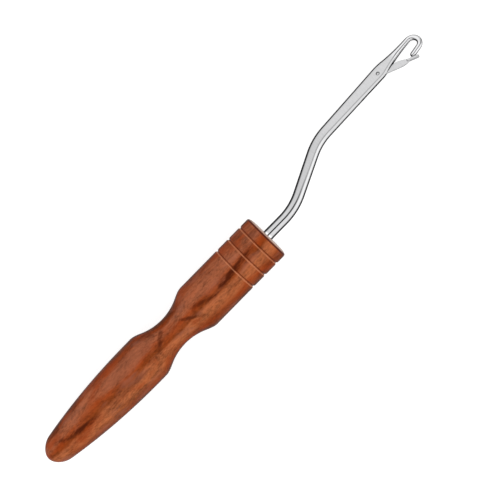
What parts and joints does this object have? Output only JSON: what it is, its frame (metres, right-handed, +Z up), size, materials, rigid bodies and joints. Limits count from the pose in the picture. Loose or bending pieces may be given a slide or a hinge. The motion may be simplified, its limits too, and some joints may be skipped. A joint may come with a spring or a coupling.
{
  "type": "bent latch hook",
  "caption": "Latch hook with a turned wooden handle, a cranked steel shank ending in a hook, and a small latch that swings on a rivet to close it.",
  "frame": {"origin": "centre of the bounding box's bottom face, on the table that the tool lies on", "axes": "+X from the butt of the handle to the hook along the handle's axis, +Y towards the side that the crank rises to, +Z up from the table"},
  "size_m": [0.1654, 0.02, 0.0152],
  "materials": {
    "lacquered_wood": "turned, stained reddish brown and lacquered to a satin gloss",
    "plated_steel": "bright nickel-plated wire, pressed flat along the blade",
    "latch_steel": "bright pressed leaf",
    "rivet_steel": "plain steel, head filed nearly flush"
  },
  "bodies": {
    "tool": {"handle": "lacquered_wood", "shank": "plated_steel", "latch_rivet": "rivet_steel"},
    "latch": {"latch": "latch_steel"}
  },
  "joints": [
    {"name": "latch_pivot", "type": "hinge", "parent": "tool", "child": "latch", "pos_m": [0.066, 0.00745, 0.00198], "axis": [0, -0.4948, -0.869], "range_deg": [0, 138]}
  ]
}
